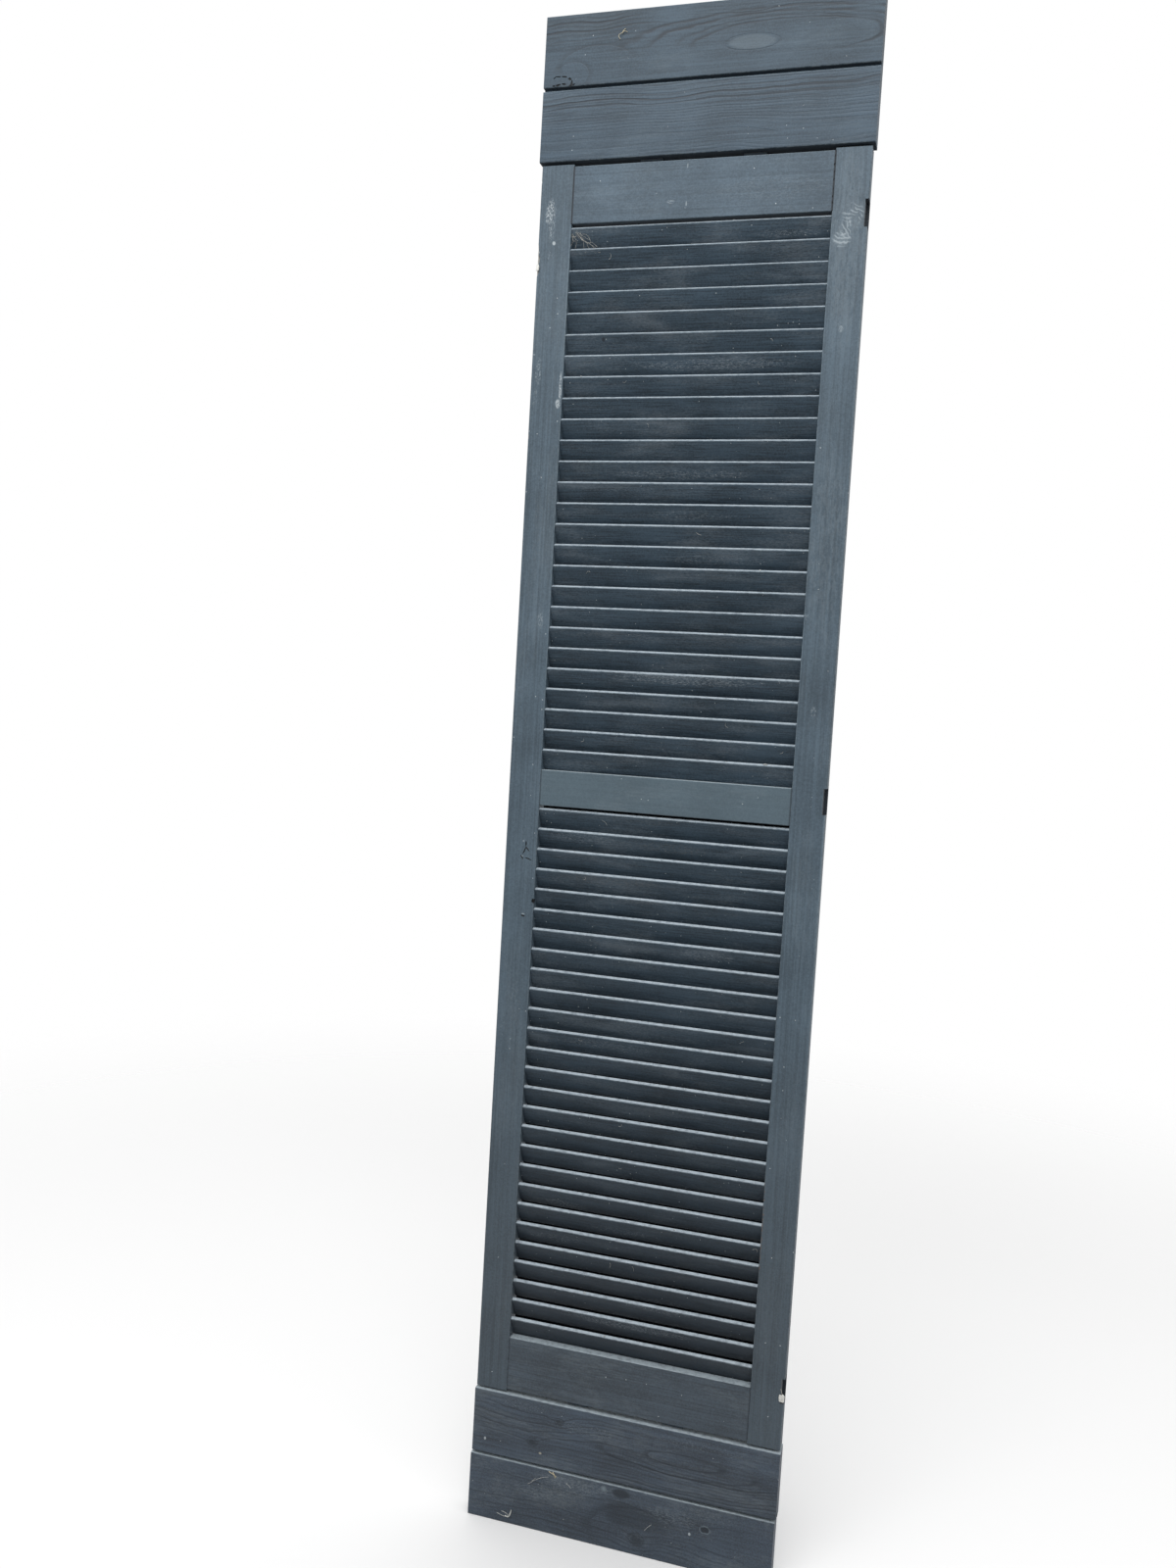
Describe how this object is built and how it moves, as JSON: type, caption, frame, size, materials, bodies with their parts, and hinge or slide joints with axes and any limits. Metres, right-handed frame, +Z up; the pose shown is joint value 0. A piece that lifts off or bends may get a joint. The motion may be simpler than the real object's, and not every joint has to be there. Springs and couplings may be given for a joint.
{
  "type": "louvred shutter leaf",
  "caption": "Tall fixed-slat louvred window shutter, a painted wooden leaf with rails, lengthened above and below with plain horizontal boards.",
  "frame": {"origin": "middle of the lowest edge, at half the thickness", "axes": "+Z up along the shutter, +X to the right as seen from the shown face, +Y from the shown face to the hidden one"},
  "size_m": [0.45, 0.028, 2.1205],
  "materials": {
    "painted_frame": "satin dark slate paint on softwood, scuffed",
    "painted_slats": "satin dark slate paint, dusty",
    "painted_boards": "dark slate paint on open-grained softwood",
    "bare_wood": "bare softwood"
  },
  "bodies": {
    "root": {"bottom_board_inner": "painted_boards", "bottom_board_outer": "painted_boards", "bottom_rail": "painted_frame", "loose_tenons": "bare_wood", "lower_slat_01": "painted_slats", "lower_slat_02": "painted_slats", "lower_slat_03": "painted_slats", "lower_slat_04": "painted_slats", "lower_slat_05": "painted_slats", "lower_slat_06": "painted_slats", "lower_slat_07": "painted_slats", "lower_slat_08": "painted_slats", "lower_slat_09": "painted_slats", "lower_slat_10": "painted_slats", "lower_slat_11": "painted_slats", "lower_slat_12": "painted_slats", "lower_slat_13": "painted_slats", "lower_slat_14": "painted_slats", "lower_slat_15": "painted_slats", "lower_slats_16_17": "painted_slats", "lower_slats_18_19": "painted_slats", "lower_slats_20_21": "painted_slats", "lower_slats_22_23": "painted_slats", "lower_slats_24_25": "painted_slats", "lower_slats_26_27": "painted_slats", "mid_rail": "painted_frame", "stile_left": "painted_frame", "stile_right": "painted_frame", "top_board_inner": "painted_boards", "top_board_outer": "painted_boards", "top_rail": "painted_frame", "upper_slat_01": "painted_slats", "upper_slat_02": "painted_slats", "upper_slat_03": "painted_slats", "upper_slat_04": "painted_slats", "upper_slat_05": "painted_slats", "upper_slat_06": "painted_slats", "upper_slat_07": "painted_slats", "upper_slat_08": "painted_slats", "upper_slat_09": "painted_slats", "upper_slat_10": "painted_slats", "upper_slat_11": "painted_slats", "upper_slat_12": "painted_slats", "upper_slat_13": "painted_slats", "upper_slat_14": "painted_slats", "upper_slat_15": "painted_slats", "upper_slat_16": "painted_slats", "upper_slat_17": "painted_slats", "upper_slat_18": "painted_slats", "upper_slat_19": "painted_slats", "upper_slat_20": "painted_slats", "upper_slat_21": "painted_slats", "upper_slat_22": "painted_slats", "upper_slat_23": "painted_slats", "upper_slat_24": "painted_slats", "upper_slat_25": "painted_slats", "upper_slat_26": "painted_slats"}
  },
  "joints": []
}
